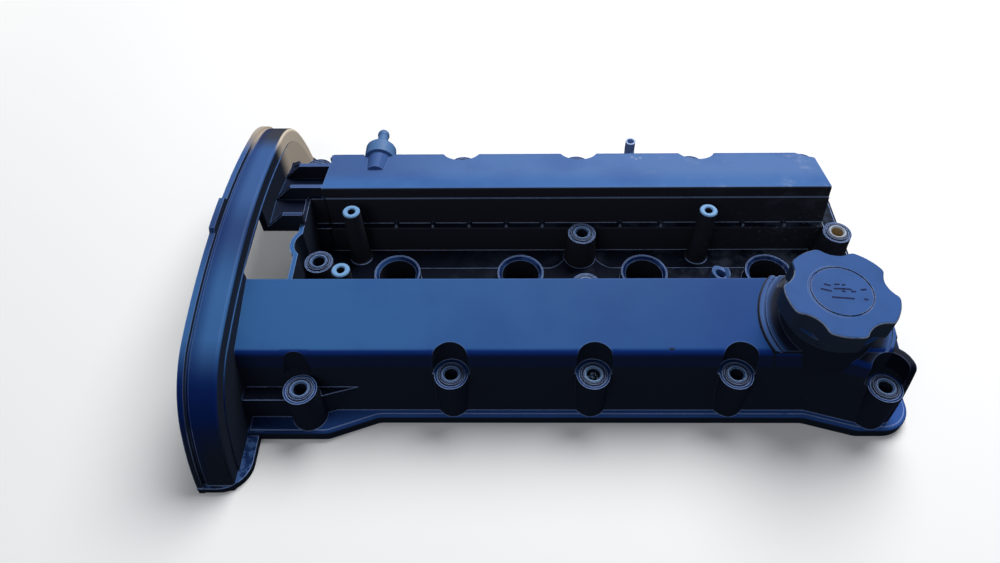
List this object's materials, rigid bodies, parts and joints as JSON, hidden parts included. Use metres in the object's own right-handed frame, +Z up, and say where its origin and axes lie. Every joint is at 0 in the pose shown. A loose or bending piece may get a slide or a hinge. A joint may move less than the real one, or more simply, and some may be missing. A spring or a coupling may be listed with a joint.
{
  "type": "engine valve cover",
  "caption": "Cast valve cover of an engine with two camshafts, with a screw-on oil filler cap, plug wells, bolt sleeves in rubber grommets and a breather nipple.",
  "frame": {"origin": "centre of the four middle side bolts, on the sealing plane", "axes": "+X along the camshafts towards the flywheel end, +Y across the engine, +Z up out of the engine"},
  "size_m": [0.4365, 0.2951, 0.0888],
  "materials": {
    "casting_paint": "satin dark navy paint on cast aluminium, worn in places",
    "grommet_rubber": "black rubber",
    "seal_rubber": "black rubber",
    "sleeve_steel": "turned steel",
    "cap_plastic": "fine-grained dark plastic",
    "nipple_plastic": "grey-blue plastic",
    "tube_steel": "drawn steel tube",
    "baffle_steel": "pressed sheet steel",
    "screw_steel": "zinc-plated steel"
  },
  "bodies": {
    "cover": {"cover_casting": "casting_paint", "bolt_grommet_near_1": "grommet_rubber", "bolt_sleeve_near_1": "sleeve_steel", "bolt_grommet_near_2": "grommet_rubber", "bolt_sleeve_near_2": "sleeve_steel", "bolt_grommet_near_3": "grommet_rubber", "bolt_sleeve_near_3": "sleeve_steel", "bolt_grommet_near_4": "grommet_rubber", "bolt_sleeve_near_4": "sleeve_steel", "bolt_grommet_near_5": "grommet_rubber", "bolt_sleeve_near_5": "sleeve_steel", "bolt_grommet_far_1": "grommet_rubber", "bolt_sleeve_far_1": "sleeve_steel", "bolt_grommet_far_2": "grommet_rubber", "bolt_sleeve_far_2": "sleeve_steel", "bolt_grommet_far_3": "grommet_rubber", "bolt_sleeve_far_3": "sleeve_steel", "bolt_grommet_far_4": "grommet_rubber", "bolt_sleeve_far_4": "sleeve_steel", "bolt_grommet_far_5": "grommet_rubber", "bolt_sleeve_far_5": "sleeve_steel", "bolt_grommet_valley_1": "grommet_rubber", "bolt_sleeve_valley_1": "sleeve_steel", "bolt_grommet_valley_2": "grommet_rubber", "bolt_sleeve_valley_2": "sleeve_steel", "bolt_grommet_valley_3": "grommet_rubber", "bolt_sleeve_valley_3": "sleeve_steel", "bolt_grommet_valley_4": "grommet_rubber", "bolt_sleeve_valley_4": "sleeve_steel", "plug_well_seal_1": "seal_rubber", "plug_well_seal_2": "seal_rubber", "plug_well_seal_3": "seal_rubber", "plug_well_seal_4": "seal_rubber", "perimeter_gasket": "seal_rubber", "breather_nipple": "nipple_plastic", "breather_nipple_ring": "seal_rubber", "breather_tube": "tube_steel", "oil_baffle_near": "baffle_steel", "oil_baffle_far": "baffle_steel", "baffle_screws_near": "screw_steel", "baffle_screws_far": "screw_steel"},
    "cap_seal": {"filler_cap_seal": "seal_rubber"},
    "cap": {"filler_cap": "cap_plastic"}
  },
  "joints": [
    {"name": "cap_lift", "type": "slide", "parent": "cover", "child": "cap_seal", "axis": [0, 0, 1], "range_m": [0, 0.00601]},
    {"name": "cap_twist", "type": "hinge", "parent": "cap_seal", "child": "cap", "pos_m": [0.1394, -0.0661, 0.0676], "axis": [0, 0, 1], "range_deg": [0, 540]}
  ],
  "couplings": [
    {"joint": "cap_lift", "follows": "cap_twist", "m_per_rad": 0.00063662}
  ]
}
